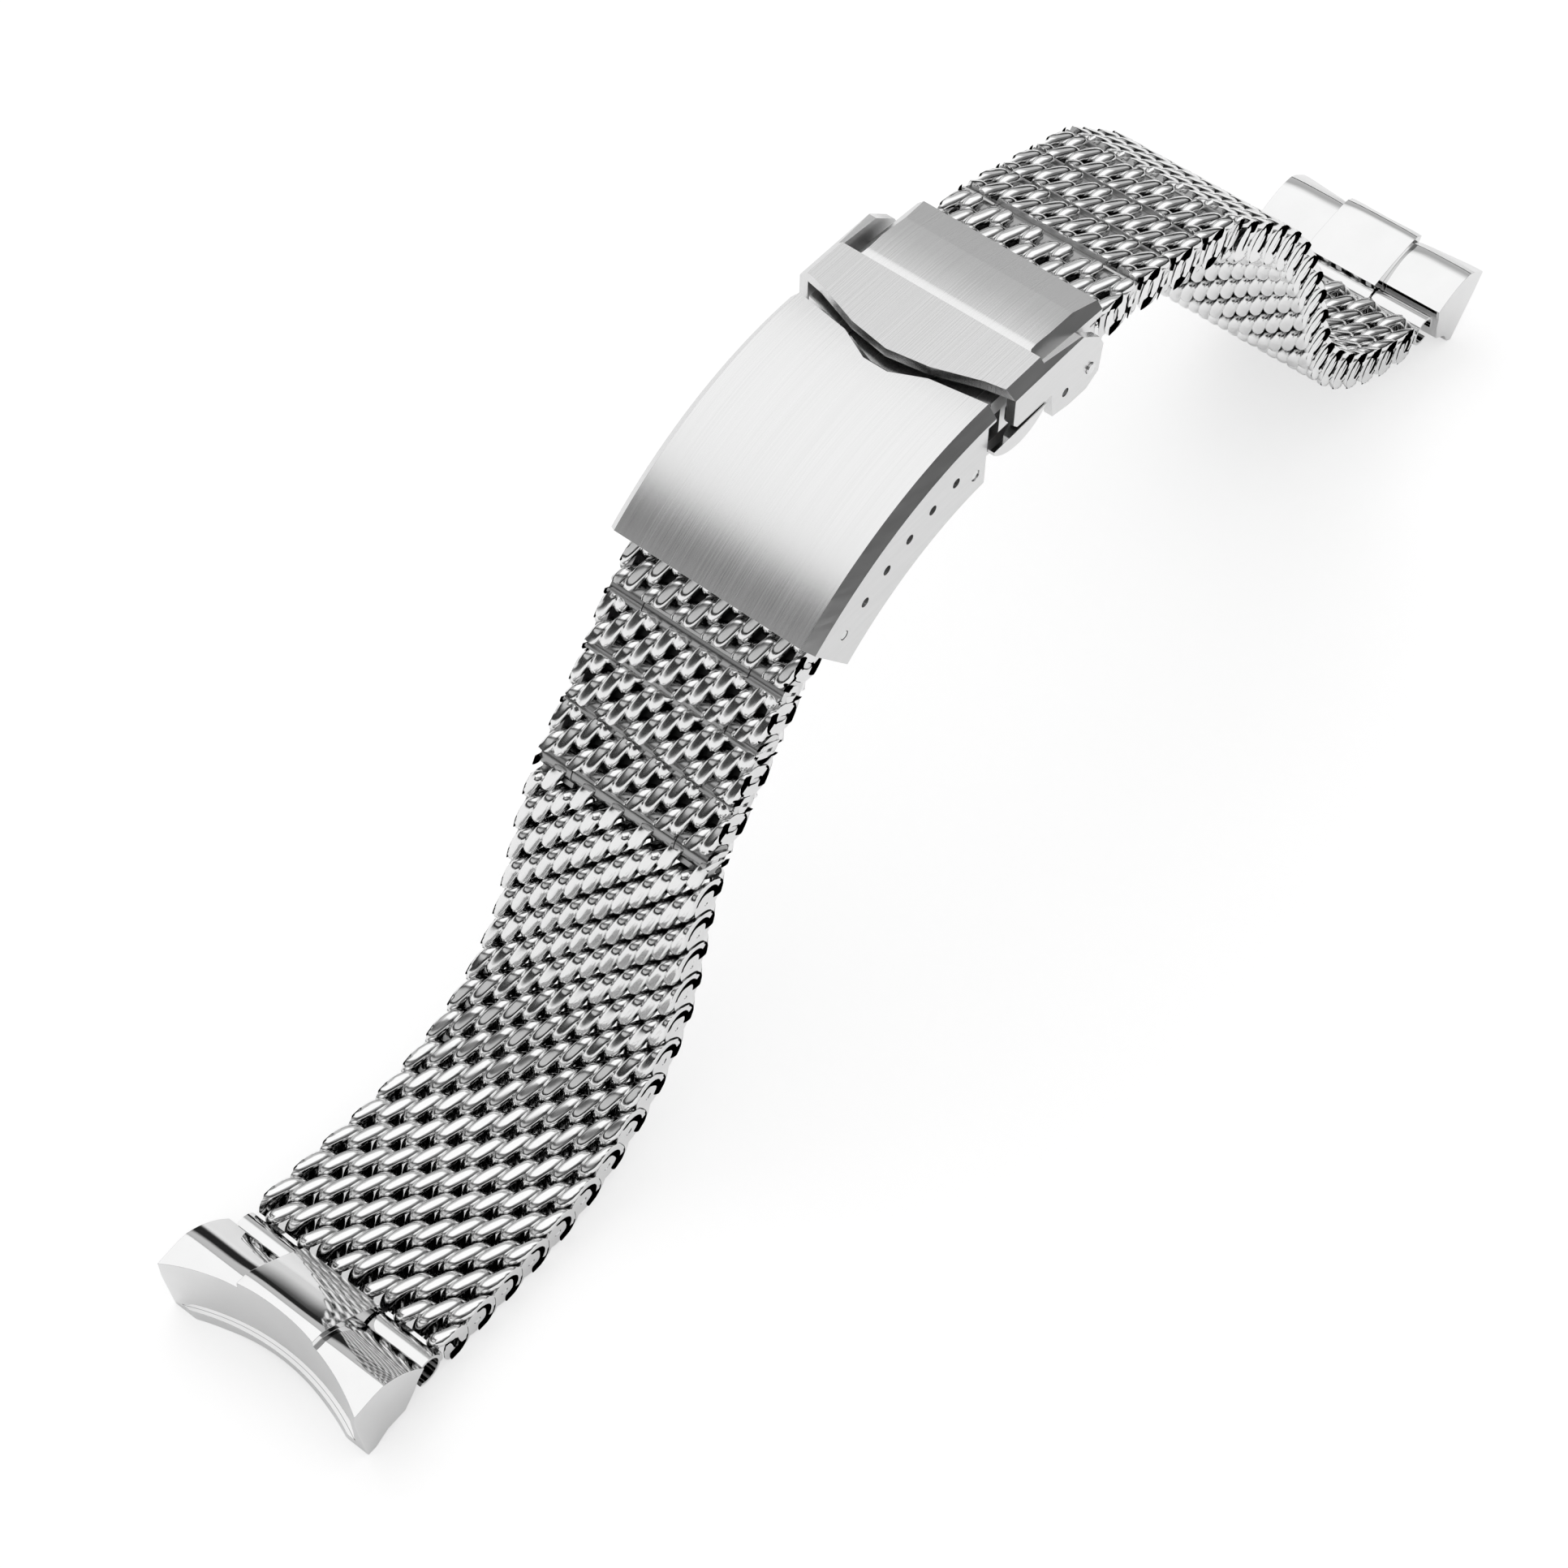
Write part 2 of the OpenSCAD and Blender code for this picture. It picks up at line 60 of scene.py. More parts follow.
def arc_end(p, a, length, turn):
    """Where an arc of a length and a turn ends, from a point at an angle."""
    if abs(turn) < 0.001:
        return (p[0] + length * math.cos(math.radians(a)), p[1] + length * math.sin(math.radians(a)))
    r = length / math.radians(turn)
    b = math.radians(a + turn)
    a = math.radians(a)
    return (p[0] + r * (math.sin(b) - math.sin(a)), p[1] - r * (math.cos(b) - math.cos(a)))


def walk(p, a, arcs, s):
    """Point and angle at a distance along a chain of arcs."""
    for i, (length, turn) in enumerate(arcs):
        if s <= length or i == len(arcs) - 1:
            part = turn * s / length
            return arc_end(p, a, s, part) + (a + part,)
        p = arc_end(p, a, length, turn)
        a += turn
        s -= length


def step(p, length, a):
    a = math.radians(a)
    return (p[0] + length * math.cos(a), p[1] + length * math.sin(a))


def hinge_chain(start):
    """The hinges of the band in the side view, from the near lug to the far one."""
    n4 = walk(start, NEAR_ANGLE, NEAR_ARCS, NEAR_ROWS * ROW)
    n3 = step(n4, LINK, NEAR_LINKS[0])
    n2 = step(n3, LINK, NEAR_LINKS[1])
    n1 = step(n2, LINK, NEAR_LINKS[2])
    bar = step(n1, NEAR_CLASP_LENGTH, NEAR_CLASP)
    b = math.radians(BAR_ANGLE)
    axis = (bar[0] + HOLE_RADIUS * math.sin(b), bar[1] - HOLE_RADIUS * math.cos(b))
    flap = (axis[0] + FLAP_OFFSET[0], axis[1] + FLAP_OFFSET[1])
    f1 = step(flap, FAR_CLASP_LENGTH, FAR_CLASP)
    f2 = step(f1, LINK, FAR_LINKS[0])
    f3 = step(f2, LINK, FAR_LINKS[1])
    f4 = step(f3, LINK, FAR_LINKS[2])
    end = walk(f4, FAR_ANGLE, FAR_ARCS, FAR_ROWS * ROW)
    return dict(n4=n4, n3=n3, n2=n2, n1=n1, flap=flap, f1=f1, f2=f2, f3=f3, f4=f4, end=end)


# The far lug link tilts until its foot touches the table, and the band is centred along x
free = hinge_chain((0, -FOOT[1]))
tilt = math.asin(free["end"][1] / math.hypot(*FOOT)) - math.atan2(-FOOT[1], FOOT[0])
reach = NOSE[0] * math.cos(tilt) + NOSE[1] * math.sin(tilt)
near_start = ((NOSE[0] - reach - free["end"][0]) / 2, -FOOT[1])
P = hinge_chain(near_start)


def near_at(s):
    return walk(near_start, NEAR_ANGLE, NEAR_ARCS, s)


def far_at(s):
    return walk(P["f4"], FAR_ANGLE, FAR_ARCS, s)


def side_frame(p, a):
    """Matrix of a frame at a point of the side view, its x turned up by an angle in degrees."""
    a = math.radians(a)
    c, s = math.cos(a), math.sin(a)
    return Matrix(((c, 0, -s, p[0]), (0, 1, 0, 0), (s, 0, c, p[1]), (0, 0, 0, 1)))


# Materials
def grey(level):
    return (level, level, level, 1)


def switch(n, link, when, off, on):
    """One of two shaders, by the kind of ray."""
    ray = n.new("ShaderNodeLightPath")
    mix = n.new("ShaderNodeMixShader")
    link.new(ray.outputs[when], mix.inputs[0])
    link.new(off.outputs[0], mix.inputs[1])
    link.new(on.outputs[0], mix.inputs[2])
    return mix


def new_material(name):
    m = bpy.data.materials.new(name)
    m.use_nodes = True
    n = m.node_tree.nodes
    n.clear()
    out = n.new("ShaderNodeOutputMaterial")
    shader = n.new("ShaderNodeBsdfPrincipled")
    m.node_tree.links.new(shader.outputs[0], out.inputs[0])
    return m, n, m.node_tree.links, shader


def metal(name, level, roughness, spread, scale, bump, grain=(1, 1, 1), tone=0.04):
    """Steel whose roughness and relief vary with noise; grain stretches the noise into brushed lines."""
    m, n, link, shader = new_material(name)
    shader.inputs["Metallic"].default_value = 1.0
    place = n.new("ShaderNodeTexCoord")
    mapping = n.new("ShaderNodeMapping")
    mapping.inputs["Scale"].default_value = grain
    noise = n.new("ShaderNodeTexNoise")
    noise.inputs["Scale"].default_value = scale
    noise.inputs["Detail"].default_value = 6
    link.new(place.outputs["Object"], mapping.inputs[0])
    link.new(mapping.outputs[0], noise.inputs["Vector"])
    rough = n.new("ShaderNodeMapRange")
    rough.inputs["To Min"].default_value = roughness - spread
    rough.inputs["To Max"].default_value = roughness + spread
    link.new(noise.outputs["Fac"], rough.inputs["Value"])
    link.new(rough.outputs[0], shader.inputs["Roughness"])
    blend = n.new("ShaderNodeMix")
    blend.data_type = "RGBA"
    blend.inputs[6].default_value = grey(level * (1 - tone))
    blend.inputs[7].default_value = grey(min(1, level * (1 + tone)))
    link.new(noise.outputs["Fac"], blend.inputs[0])
    link.new(blend.outputs[2], shader.inputs["Base Color"])
    relief = n.new("ShaderNodeBump")
    relief.inputs["Strength"].default_value = bump
    relief.inputs["Distance"].default_value = 0.02 * MM
    link.new(noise.outputs["Fac"], relief.inputs["Height"])
    link.new(relief.outputs[0], shader.inputs["Normal"])
    return m


# Distance from the band's middle plane at which the wire is darkest, and from which it is bright
HOLLOW_DEPTH, OPEN_DEPTH = 0.55, 1.45
HOLLOW_TONE = 0.10


def darken_hollows(m):
    """Darkens the wire deep inside the weave, where little light arrives."""
    n, link = m.node_tree.nodes, m.node_tree.links
    shader = next(x for x in n if x.type == "BSDF_PRINCIPLED")
    depth = n.new("ShaderNodeAttribute")
    depth.attribute_name = "depth"
    fade = n.new("ShaderNodeMapRange")
    fade.inputs["From Min"].default_value = HOLLOW_DEPTH
    fade.inputs["From Max"].default_value = OPEN_DEPTH
    fade.inputs["To Min"].default_value = HOLLOW_TONE
    link.new(depth.outputs["Fac"], fade.inputs["Value"])
    shade = n.new("ShaderNodeMix")
    shade.data_type = "RGBA"
    shade.blend_type = "MULTIPLY"
    shade.inputs[0].default_value = 1
    link.new(shader.inputs["Base Color"].links[0].from_socket, shade.inputs[6])
    link.new(fade.outputs[0], shade.inputs[7])
    link.new(shade.outputs[2], shader.inputs["Base Color"])


wire_steel = metal("woven_wire", 0.90, roughness=0.14, spread=0.04, scale=900, bump=0.15)
darken_hollows(wire_steel)
edge_steel = metal("ground_edge", 0.80, roughness=0.30, spread=0.04, scale=900, bump=0.1)
polished = metal("polished_steel", 0.84, roughness=0.045, spread=0.02, scale=300, bump=0.04)
brushed = metal("brushed_steel", 0.80, roughness=0.25, spread=0.06, scale=900, bump=0.55,
                grain=(0.05, 9, 0.05), tone=0.07)
brushed_side = metal("brushed_side", 0.80, roughness=0.32, spread=0.06, scale=900, bump=0.35,
                     grain=(0.3, 1, 3), tone=0.05)
# Painted shade: the tubes' round faces and the knuckles lie in the hollows under the strands, so they take
# the same steel painted much darker
tube_painted_shade = metal("tube_painted_shade", 0.36, roughness=0.22, spread=0.06, scale=800, bump=0.2)
# Painted shade: the links' core is steel painted near black, so the gaps between the strands read as deep
# shade
core_painted_shade = metal("core_painted_shade_steel", 0.05, roughness=0.45, spread=0.08, scale=800, bump=0.2)


def add_object(name, mesh, material, body, stands_for):
    """A piece that rides on a body and may stand for CAD nodes."""
    o = bpy.data.objects.new(name, mesh)
    bpy.context.scene.collection.objects.link(o)
    mesh.materials.append(material)
    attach(o, body)
    if stands_for:
        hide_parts(*stands_for)
    return o


def mesh_from(bm, name):
    mesh = bpy.data.meshes.new(name)
    bm.to_mesh(mesh)
    bm.free()
    return mesh


def smooth(mesh, angle):
    """Smooth shading, apart from edges sharper than an angle in degrees."""
    for p in mesh.polygons:
        p.use_smooth = True
    bm = bmesh.new()
    bm.from_mesh(mesh)
    limit = math.radians(angle)
    for e in bm.edges:
        if len(e.link_faces) == 2:
            e.smooth = e.calc_face_angle(0) < limit
    bm.to_mesh(mesh)
    bm.free()


def ease_edges(o, width, segments, angle):
    bevel = o.modifiers.new("edge", "BEVEL")
    bevel.width = width * MM
    bevel.segments = segments
    bevel.limit_method = "ANGLE"
    bevel.angle_limit = math.radians(angle)
    bevel.harden_normals = True


# Woven rows: the wire's radius, and half the length and height of a coil
WIRE = 0.61
COIL_X, COIL_Z = 1.74, 1.50
# Height of the ground face, and the share of the wire beyond it that is left
FACE, GRIND = 1.92, 0.22
# A coil has a quarter turn more at each end; its pitch follows from the room across the band
HALF_TURNS = 12
PITCHES = (HALF_TURNS - 1) / 2
COIL_MARGIN = 0.95
# Exponents that square off the coil's round, and the lean added as it passes between the faces
ROUND_X, ROUND_Z = 0.75, 0.7
SWAY = 0.08
# Sides of the wire, and points on half a turn
SIDES, STEPS = 14, 16


def coil_path(parity, width, low, high):
    """Points of one flattened coil, in its row's frame."""
    p = (width - COIL_MARGIN) / PITCHES
    path = []
    for j in range(-1, HALF_TURNS + 1):
        top = (j + parity) % 2 == 0
        y0 = (PITCHES / 2 - 0.5 * j) * p
        z = 1 if top else -1
        for i in range(STEPS):
            if j == -1 and i < STEPS // 2 or j == HALF_TURNS and i >= STEPS // 2:
                continue
            f = math.pi * (i + 0.5) / STEPS
            c, s = math.cos(f), math.sin(f)
            x = -z * COIL_X * math.copysign(abs(c) ** ROUND_X, c)
            h = COIL_Z * abs(s) ** ROUND_Z
            lean = SLANT * p * abs(x) + SWAY * p * (1 - h / COIL_Z)
            x = max(low, min(high, x))
            path.append(Vector((x, y0 - math.copysign(lean, x * z), z * h)))
    return path


# How far a link's strands stop short of the seam, per millimetre above or below the hinge,
# so that links can turn 10 degrees outward and 30 degrees inward
SEAM_TOP = 0.065
SEAM_UNDER = 0.26
# Room that the strands leave around a hinge pin or the clasp's bar
PIN_ROOM = 0.75
# The value stored in place of that distance at the band's edge, and how fast it falls away inward
EDGE_DEPTH, EDGE_FADE = 1.6, 1.2


def depth_layer(bm):
    """Holds each point's distance from the band's middle plane, for the wire's material."""
    return bm.verts.layers.float.get("depth") or bm.verts.layers.float.new("depth")


def sweep(bm, path, matrix, half_width, ends=None):
    """Round wire along a path, ground flat outside, cut at the band's edges and at the ends given."""
    rings = []
    count = len(path)
    side = Vector((0, 1, 0))
    depth = depth_layer(bm)
    for i, q in enumerate(path):
        t = (path[min(i + 1, count - 1)] - path[max(i - 1, 0)]).normalized()
        u = (side - t * side.dot(t)).normalized()
        v = t.cross(u)
        ring = []
        for k in range(SIDES):
            a = 2 * math.pi * (k + 0.5) / SIDES
            w = q + u * (WIRE * math.cos(a)) + v * (WIRE * math.sin(a))
            if abs(w.z) > FACE:
                w.z = math.copysign(FACE + (abs(w.z) - FACE) * GRIND, w.z)
            if abs(w.y) > half_width:
                w.y = math.copysign(half_width, w.y)
            if ends:
                room = SEAM_TOP * max(w.z, 0) + SEAM_UNDER * max(-w.z, 0)
                w.x = max(ends[0] + room, min(ends[1] - room, w.x))
                for end in ends:
                    reach = math.hypot(w.x - end, w.z)
                    if 0 < reach < PIN_ROOM:
                        w.x = end + (w.x - end) * PIN_ROOM / reach
                        w.z *= PIN_ROOM / reach
            vertex = bm.verts.new(matrix @ w * MM)
            vertex[depth] = max(abs(w.z), EDGE_DEPTH - EDGE_FADE * (half_width - abs(w.y)))
            ring.append(vertex)
        rings.append(ring)
    for a, b in zip(rings, rings[1:]):
        for k in range(SIDES):
            n = (k + 1) % SIDES
            bm.faces.new((a[k], a[n], b[n], b[k]))
    bm.faces.new(rings[0][::-1])
    bm.faces.new(rings[-1])


# The loop that ends a coil at the band's edge
LOOP_X, LOOP_Z, LOOP_SHIFT = 1.08, 0.85, 0.1
LOOP_WIRE, LOOP_INSET = 0.68, 0.15
LOOP_STEPS, LOOP_SIDES = 20, 10
# Values stored for its ground face, this deep, and for the rest of it
LOOP_FACE, LOOP_HOLLOW = 2, 0.9
GROUND_SKIN = 0.02


def edge_loop(bm, matrix, y, half_width):
    """The end of a coil at the band's edge: a flattened loop of wire, ground flat."""
    depth = depth_layer(bm)
    rings = []
    for i in range(LOOP_STEPS):
        a = 2 * math.pi * i / LOOP_STEPS
        q = Vector((LOOP_X * math.cos(a) + LOOP_SHIFT, y, LOOP_Z * math.sin(a) - LOOP_SHIFT))
        out = Vector((q.x - LOOP_SHIFT, 0, q.z + LOOP_SHIFT)).normalized()
        ring = []
        for k in range(LOOP_SIDES):
            a = 2 * math.pi * (k + 0.5) / LOOP_SIDES
            w = q + out * (LOOP_WIRE * math.cos(a)) + Vector((0, LOOP_WIRE * math.sin(a), 0))
            if abs(w.y) > half_width:
                w.y = math.copysign(half_width, w.y)
            vertex = bm.verts.new(matrix @ w * MM)
            vertex[depth] = LOOP_FACE if abs(w.y) > half_width - GROUND_SKIN else LOOP_HOLLOW
            ring.append(vertex)
        rings.append(ring)
    for i, a in enumerate(rings):
        b = rings[(i + 1) % len(rings)]
        for k in range(LOOP_SIDES):
            n = (k + 1) % LOOP_SIDES
            bm.faces.new((a[k], a[n], b[n], b[k]))


# How far the middle of the wire may pass the gap at a strand's end
OVERLAP = 0.1


def woven_segment(name, rows, at, width_at, length):
    """The rows of one mesh node, with an edge loop on every second row at each side."""
    bm = bmesh.new()
    for k in rows:
        s = (k + 0.5) * ROW
        f = at(s)
        width = width_at(s)
        path = coil_path(k % 2, width, EDGE_GAP - OVERLAP - s, length - EDGE_GAP + OVERLAP - s)
        sweep(bm, path, side_frame(f, f[2]), width / 2)
        if 1 < k < length / ROW - 2:
            side = -1 if k % 2 else 1
            edge_loop(bm, side_frame(f, f[2]), side * (width / 2 - LOOP_INSET), width / 2)
    bmesh.ops.recalc_face_normals(bm, faces=bm.faces)
    bm.normal_update()
    mesh = mesh_from(bm, name)
    smooth(mesh, angle=50)
    add_object(name + "_wire", mesh, wire_steel, name, [name])


def segment_rows(n, total):
    return range(max(1, SEGMENT * (n - 1)), min(total - 2, SEGMENT * n - 1) + 1)


def near_width(s):
    return LUG_WIDTH + (CLASP_WIDTH - LUG_WIDTH) * s / (NEAR_ROWS * ROW)


def far_width(s):
    return CLASP_WIDTH + (LUG_WIDTH - CLASP_WIDTH) * s / (FAR_ROWS * ROW)


for strand, count, total, at, width_at in (("near", 8, NEAR_ROWS, near_at, near_width),
                                           ("far", 9, FAR_ROWS, far_at, far_width)):
    for n in range(1, count + 1):
        woven_segment(f"{strand}_mesh_{n}", segment_rows(n, total), at, width_at, total * ROW)


# Hinged links: woven strands over a solid core, with tubes at both ends
TUBE_SIDES = 32
CENTRE_HALF, SIDE_START, LINK_HALF = 5.4, 5.5, 8.9
KNUCKLE, PIN_BORE = 1.4, 0.65
# Thin bars along the seams: across the middle at one end, at each side at the other
MIDDLE_HALF = 5.38
SIDE_SPANS = ((-8.8, -5.52), (5.52, 8.8))
BAR_START, BAR_END = 0.14, 0.36
BAR_LOW, BAR_TOP = 1.2, 1.8
# Cheeks that close a link at the band's edges
CHEEK, CHEEK_HALF = 0.8, 1.3
CHEEK_START, CHEEK_END = 1.5, 0.8
# The core between the tubes, and its tongues toward them
CORE_END, CORE_WIDE, CORE_HIGH = 1.55, 8.6, 0.5
TONGUE_START, TONGUE_END, TONGUE_WIDE = 0.9, 1.7, 5.35
# The plain plate where a link's strands begin further in, and how far it runs under them
PLATE_START, PLATE_UNDER, PLATE_WIDE = 0.9, 0.3, 8.8
PLATE_LOW, PLATE_TOP = -1.2, 1.5
# Room for the strands at a seam and at the band's edge, and for the middle of the wire at a seam
SEAM_GAP, EDGE_INSET, WIRE_INSET = 0.05, 0.05, 0.1


def tube(bm, matrix, x, y0, y1, outer, inner):
    """A tube across the band; its round faces take the second material."""
    loops = []
    for y, r in ((y0, outer), (y1, outer), (y1, inner), (y0, inner)):
        loop = []
        for k in range(TUBE_SIDES):
            a = 2 * math.pi * k / TUBE_SIDES
            loop.append(bm.verts.new(matrix @ Vector((x + r * math.cos(a), y, r * math.sin(a))) * MM))
        loops.append(loop)
    for i in range(4):
        a, b = loops[i], loops[(i + 1) % 4]
        for k in range(TUBE_SIDES):
            n = (k + 1) % TUBE_SIDES
            bm.faces.new((a[k], b[k], b[n], a[n])).material_index = i % 2 == 0


def block(bm, matrix, low, high):
    corners = [bm.verts.new(matrix @ Vector((x, y, z)) * MM)
               for x in (low[0], high[0]) for y in (low[1], high[1]) for z in (low[2], high[2])]
    for f in ((0, 1, 3, 2), (4, 6, 7, 5), (0, 4, 5, 1), (2, 3, 7, 6), (0, 2, 6, 4), (1, 5, 7, 3)):
        bm.faces.new([corners[i] for i in f])


def strand_row(bm, matrix, x, parity, low, high):
    """One coil of the weave in a link, cut short at the seams."""
    path = coil_path(parity, CLASP_WIDTH, low - x + WIRE_INSET, high - x - WIRE_INSET)
    place = matrix @ Matrix.Translation((x, 0, 0))
    sweep(bm, path, place, CLASP_WIDTH / 2 - EDGE_INSET, (low - x, high - x))


def strand_mesh(name, bm, body):
    bm.normal_update()
    mesh = mesh_from(bm, name)
    smooth(mesh, angle=50)
    add_object(name, mesh, wire_steel, body, ())


def hinged_link(name, p, angle, length, first_row, low=0):
    """A link: rows of strands, then tubes with bars, cheeks and plate, then the core inside."""
    matrix = side_frame(p, angle)
    bm = bmesh.new()
    for k in range(4):
        strand_row(bm, matrix, first_row + k * ROW, k % 2, low + SEAM_GAP, length - SEAM_GAP)
    strand_mesh(name + "_strands", bm, name)
    bm = bmesh.new()
    tube(bm, matrix, 0, -CENTRE_HALF, CENTRE_HALF, KNUCKLE, PIN_BORE)
    tube(bm, matrix, length, SIDE_START, LINK_HALF, KNUCKLE, PIN_BORE)
    tube(bm, matrix, length, -LINK_HALF, -SIDE_START, KNUCKLE, PIN_BORE)
    block(bm, matrix, (BAR_START, -MIDDLE_HALF, BAR_LOW), (BAR_END, MIDDLE_HALF, BAR_TOP))
    for y0, y1 in SIDE_SPANS:
        block(bm, matrix, (length - BAR_END, y0, BAR_LOW), (length - BAR_START, y1, BAR_TOP))
    for y in (-LINK_HALF, LINK_HALF - CHEEK):
        block(bm, matrix, (CHEEK_START, y, -CHEEK_HALF), (length - CHEEK_END, y + CHEEK, CHEEK_HALF))
    if low:
        block(bm, matrix, (PLATE_START, -PLATE_WIDE, PLATE_LOW), (low + PLATE_UNDER, PLATE_WIDE, PLATE_TOP))
    bmesh.ops.recalc_face_normals(bm, faces=bm.faces)
    mesh = mesh_from(bm, name + "_tubes")
    smooth(mesh, angle=40)
    add_object(name + "_tubes", mesh, edge_steel, name, ())
    # The tubes' round faces take the painted-shade steel
    mesh.materials.append(tube_painted_shade)
    bm = bmesh.new()
    block(bm, matrix, (CORE_END, -CORE_WIDE, -CORE_HIGH), (length - CORE_END, CORE_WIDE, CORE_HIGH))
    block(bm, matrix, (TONGUE_START, -TONGUE_WIDE, -CORE_HIGH), (TONGUE_END, TONGUE_WIDE, CORE_HIGH))
    for y0, y1 in SIDE_SPANS:
        block(bm, matrix, (length - TONGUE_END, y0, -CORE_HIGH), (length - TONGUE_START, y1, CORE_HIGH))
    bmesh.ops.recalc_face_normals(bm, faces=bm.faces)
    # The core takes the near-black painted-shade steel
    add_object(name + "_core", mesh_from(bm, name + "_core"), core_painted_shade, name, [name])


hinged_link("near_link_1", P["n4"], NEAR_LINKS[0], LINK, 0.35)
hinged_link("near_link_2", P["n3"], NEAR_LINKS[1], LINK, -0.3)
hinged_link("near_link_3", P["n2"], NEAR_LINKS[2], LINK, 0.35)
hinged_link("near_clasp_link", P["n1"], NEAR_CLASP, NEAR_CLASP_LENGTH, 0)
hinged_link("far_clasp_link", P["flap"], FAR_CLASP, FAR_CLASP_LENGTH, FAR_CLASP_LENGTH - 3 * ROW, low=3.2)
for n in (1, 2, 3):
    hinged_link(f"far_link_{n}", P[f"f{n}"], FAR_LINKS[n - 1], LINK, 0)

# Half rows that end the weave over the knuckle tubes
LAST_ROW = 1.3
end_rows = bmesh.new()
last_frame = side_frame(P["n4"], near_at(NEAR_ROWS * ROW)[2])
strand_row(end_rows, last_frame, -LAST_ROW, 1, -2 * LAST_ROW, -SEAM_GAP)
strand_mesh("near_edge_strands", end_rows, "near_mesh_8")
end_rows = bmesh.new()
strand_row(end_rows, side_frame(P["f4"], FAR_ANGLE), LAST_ROW, 0, SEAM_GAP, 2 * LAST_ROW)
strand_mesh("far_edge_strands", end_rows, "far_mesh_1")


# Solid pieces: the CAD form with eased edges and smooth curves
def eased(name, material, edge):
    """A piece from a CAD node's own form."""
    mesh = nodes[name].data.copy()
    mesh.materials.clear()
    bm = bmesh.new()
    bm.from_mesh(mesh)
    bmesh.ops.remove_doubles(bm, verts=bm.verts, dist=0.002 * MM)
    bmesh.ops.dissolve_limit(bm, angle_limit=math.radians(0.6), verts=bm.verts, edges=bm.edges)
    bm.to_mesh(mesh)
    bm.free()
    smooth(mesh, angle=30)
    o = add_object(name + "_form", mesh, material, name, [name])
    ease_edges(o, edge, segments=3, angle=32)
    return o


# A face whose normal has at least this share along y looks across the band
SIDEWAYS = 0.7


def side_slot(o, material):
    """Gives the faces that look across the band another material."""
    o.data.materials.append(material)
    for p in o.data.polygons:
        if abs(p.normal.y) > SIDEWAYS:
            p.material_index = 1


for name, edge, has_sides in (("clasp_cover", 0.10, True), ("fold_blade_outer", 0.10, True),
                              ("fold_blade_inner", 0.08, False), ("lock_flap", 0.10, True)):
    o = eased(name, brushed, edge)
    if has_sides:
        side_slot(o, brushed_side)
for name in ("push_button_left", "push_button_right"):
    eased(name, polished, 0.08)


# Lug links: lofted lobes, each with a crest, a bevel toward the case and the case's hollow
CASE_ARC = 22.5
LUG_HALF, LOBE_HALF = 10.9, 4.2
LUG_TUBE, LUG_BORE = 1.7, 1.3
CREST = [(0.75, 2.2), (1.35, 2.95), (2.0, 3.68), (2.8, 4.42), (3.5, 4.96), (4.1, 5.33), (4.6, 5.58),
         (5.15, 5.82), (5.16, 5.825), (6.2, 5.88), (6.21, 5.88), (7.4, 5.72), (8.7, 5.5)]
LOBE_CREST = [(-1.2, 2.2), (-0.4, 2.86), (0.5, 3.58), (1.4, 4.26), (2.3, 4.90), (3.1, 5.45), (3.9, 5.98),
              (4.45, 6.33), (5.05, 6.59), (5.06, 6.595), (6.0, 6.64), (6.01, 6.64), (8.7, 6.25)]
UNDERSIDE = [(6.9, -2.3), (5.4, -1.4), (3.3, -1.25), (2.1, 0.2), (1.6, 1.2)]
LOBE_UNDERSIDE = [(6.9, -2.3), (5.4, -1.4), (3.3, -1.25), (1.55, 0.4), (-0.9, 1.45)]
# Distance from the hinge to the case's hollow at mid band, and the lip under it
CASE_NEAR = 5.8
LIP, LIP_LOW, LIP_TOP = 0.35, -1.0, 3.2
LIP_INSET = 0.3
# How far a lobe's edges fall at the case, and the steps along the crest and across a lobe
CROWN = 0.12
CREST_STEPS, LOBE_STEPS = 60, 24
# Furthest reach outward against height, from the foot up to the nose
OUTER_END = [(-2.3, 7.8), (3.2, 8.5), (5.5, 8.6)]


def on_line(points, x):
    """Height of an open line at a place along it."""
    for (x0, y0), (x1, y1) in zip(points, points[1:]):
        if x <= x1:
            return y0 + (y1 - y0) * (x - x0) / (x1 - x0)
    return points[-1][1]


def rounded(points):
    """Corner-cutting of an open line, so that it reads as a smooth curve."""
    for _ in range(3):
        new = [points[0]]
        for a, b in zip(points, points[1:]):
            new.append((0.75 * a[0] + 0.25 * b[0], 0.75 * a[1] + 0.25 * b[1]))
            new.append((0.25 * a[0] + 0.75 * b[0], 0.25 * a[1] + 0.75 * b[1]))
        points = new + [points[-1]]
    return points


def lug_column(y, crest, top, crown, underside):
    """Side view of a lug link at one place across the band."""
    wall = CASE_NEAR + CASE_ARC - math.sqrt(CASE_ARC ** 2 - y ** 2)
    lip = wall + LIP
    lower = list(reversed(underside))
    start = crest[0][0]
    line = []
    for i in range(CREST_STEPS + 1):
        f = i / CREST_STEPS
        x = start + (wall - start) * f
        line.append((x, on_line(top, x) - crown * f))
    line += [(wall, LIP_TOP), (wall, LIP_LOW), (lip, LIP_LOW), (lip, on_line(lower, lip))]
    for x, v in underside:
        line.append((x, v) if x < lip - LIP_INSET else (lip - LIP_INSET, on_line(lower, lip - LIP_INSET)))
    return [(min(x, on_line(OUTER_END, v)), v) for x, v in line]


